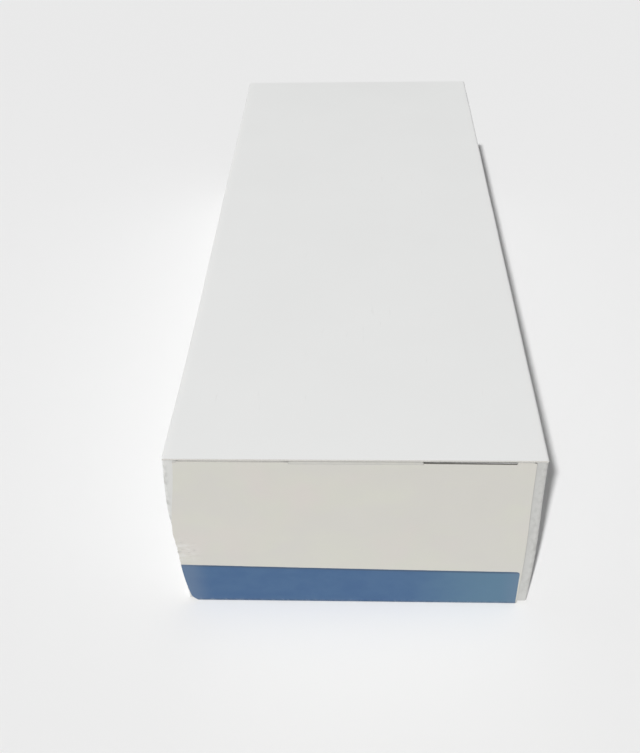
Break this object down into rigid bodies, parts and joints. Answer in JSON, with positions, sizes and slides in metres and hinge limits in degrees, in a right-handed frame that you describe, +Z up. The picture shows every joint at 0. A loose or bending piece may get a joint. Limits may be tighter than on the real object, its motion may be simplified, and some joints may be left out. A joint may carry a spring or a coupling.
{
  "type": "gymnastics chalk block carton",
  "caption": "Folding paperboard carton with tuck-in ends and a coloured band, filled with pressed gymnastics chalk blocks.",
  "frame": {"origin": "centre of the base, on the surface the carton rests on", "axes": "+X to the right seen from the front end, +Y from the front end to the rear end along the carton's length, +Z up"},
  "size_m": [0.0888, 0.229, 0.051],
  "materials": {
    "paperboard": "matte",
    "printed_paperboard": "matte",
    "chalk": "matte"
  },
  "bodies": {
    "carton": {"bottom_panel": "paperboard", "left_side_panel": "paperboard", "right_side_panel": "paperboard", "top_panel": "paperboard", "glue_flap": "paperboard", "chalk_block_1": "chalk", "chalk_block_2": "chalk", "chalk_block_3": "chalk", "chalk_block_4": "chalk", "chalk_block_5": "chalk", "chalk_block_6": "chalk", "chalk_block_7": "chalk", "chalk_block_8": "chalk"},
    "front_closure": {"front_closure_panel": "printed_paperboard"},
    "front_tuck": {"front_tuck_flap": "paperboard"},
    "front_left_dust": {"front_left_dust_flap": "paperboard"},
    "front_right_dust": {"front_right_dust_flap": "paperboard"},
    "rear_closure": {"rear_closure_panel": "printed_paperboard"},
    "rear_tuck": {"rear_tuck_flap": "paperboard"},
    "rear_left_dust": {"rear_left_dust_flap": "paperboard"},
    "rear_right_dust": {"rear_right_dust_flap": "paperboard"}
  },
  "joints": [
    {"name": "front_closure_hinge", "type": "hinge", "parent": "carton", "child": "front_closure", "pos_m": [0, -0.11425, 0.00025], "axis": [1, 0, 0], "range_deg": [0, 90]},
    {"name": "front_tuck_fold", "type": "hinge", "parent": "front_closure", "child": "front_tuck", "pos_m": [0, -0.11425, 0.04975], "axis": [1, 0, 0], "range_deg": [-45, 0]},
    {"name": "front_left_dust_hinge", "type": "hinge", "parent": "carton", "child": "front_left_dust", "pos_m": [-0.04415, -0.11355, 0.0255], "axis": [0, 0, -1], "range_deg": [0, 90]},
    {"name": "front_right_dust_hinge", "type": "hinge", "parent": "carton", "child": "front_right_dust", "pos_m": [0.04415, -0.11355, 0.0255], "axis": [0, 0, 1], "range_deg": [0, 90]},
    {"name": "rear_closure_hinge", "type": "hinge", "parent": "carton", "child": "rear_closure", "pos_m": [0, 0.11425, 0.00025], "axis": [-1, 0, 0], "range_deg": [0, 90]},
    {"name": "rear_tuck_fold", "type": "hinge", "parent": "rear_closure", "child": "rear_tuck", "pos_m": [0, 0.11425, 0.04975], "axis": [-1, 0, 0], "range_deg": [-45, 0]},
    {"name": "rear_left_dust_hinge", "type": "hinge", "parent": "carton", "child": "rear_left_dust", "pos_m": [-0.04415, 0.11355, 0.0255], "axis": [0, 0, 1], "range_deg": [0, 90]},
    {"name": "rear_right_dust_hinge", "type": "hinge", "parent": "carton", "child": "rear_right_dust", "pos_m": [0.04415, 0.11355, 0.0255], "axis": [0, 0, -1], "range_deg": [0, 90]}
  ],
  "couplings": [
    {"joint": "front_tuck_fold", "follows": "front_closure_hinge", "ratio": -0.5},
    {"joint": "front_left_dust_hinge", "follows": "front_closure_hinge", "ratio": 1},
    {"joint": "front_right_dust_hinge", "follows": "front_closure_hinge", "ratio": 1},
    {"joint": "rear_tuck_fold", "follows": "rear_closure_hinge", "ratio": -0.5},
    {"joint": "rear_left_dust_hinge", "follows": "rear_closure_hinge", "ratio": 1},
    {"joint": "rear_right_dust_hinge", "follows": "rear_closure_hinge", "ratio": 1}
  ]
}
